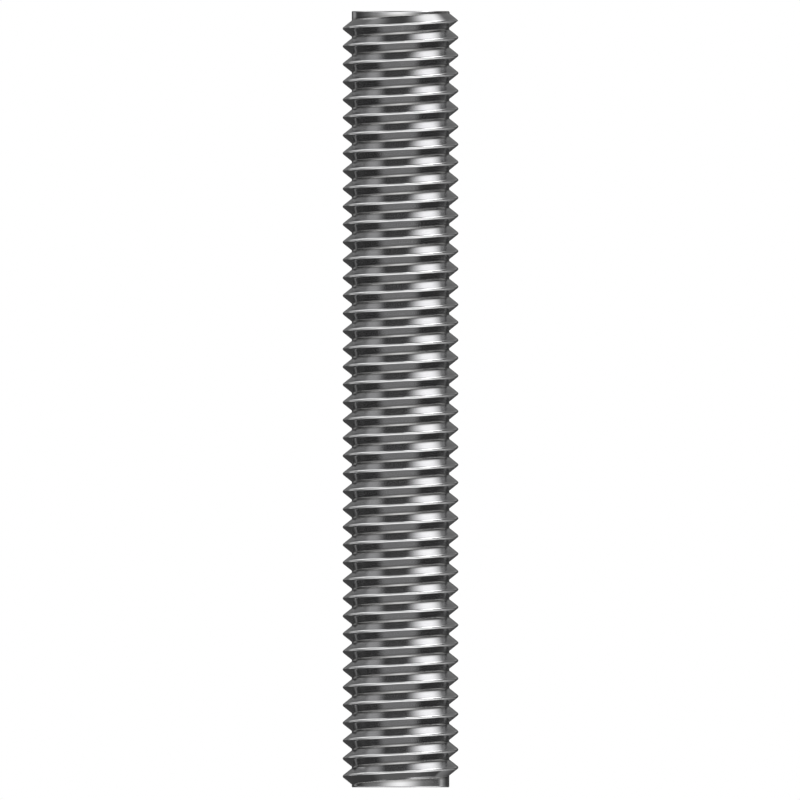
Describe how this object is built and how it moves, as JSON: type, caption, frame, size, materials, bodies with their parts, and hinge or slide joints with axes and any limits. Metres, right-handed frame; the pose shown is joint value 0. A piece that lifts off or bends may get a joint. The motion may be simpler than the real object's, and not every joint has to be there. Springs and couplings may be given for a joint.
{
  "type": "threaded rod",
  "caption": "Short steel threaded rod with one coarse right-hand thread along it and a short plain neck at each end.",
  "frame": {"origin": "middle of the bottom end face, on the rod's axis, with the rod standing on its end", "axes": "+Z along the rod's axis from the bottom end to the top end; -Y is the front, where the lowest crest is 1.3 mm above the bottom end"},
  "size_m": [0.0098, 0.0098, 0.0654],
  "materials": {
    "rod_steel": "bright rolled thread, plain steel with no plating"
  },
  "bodies": {
    "root": {"threaded_rod": "rod_steel"}
  },
  "joints": []
}
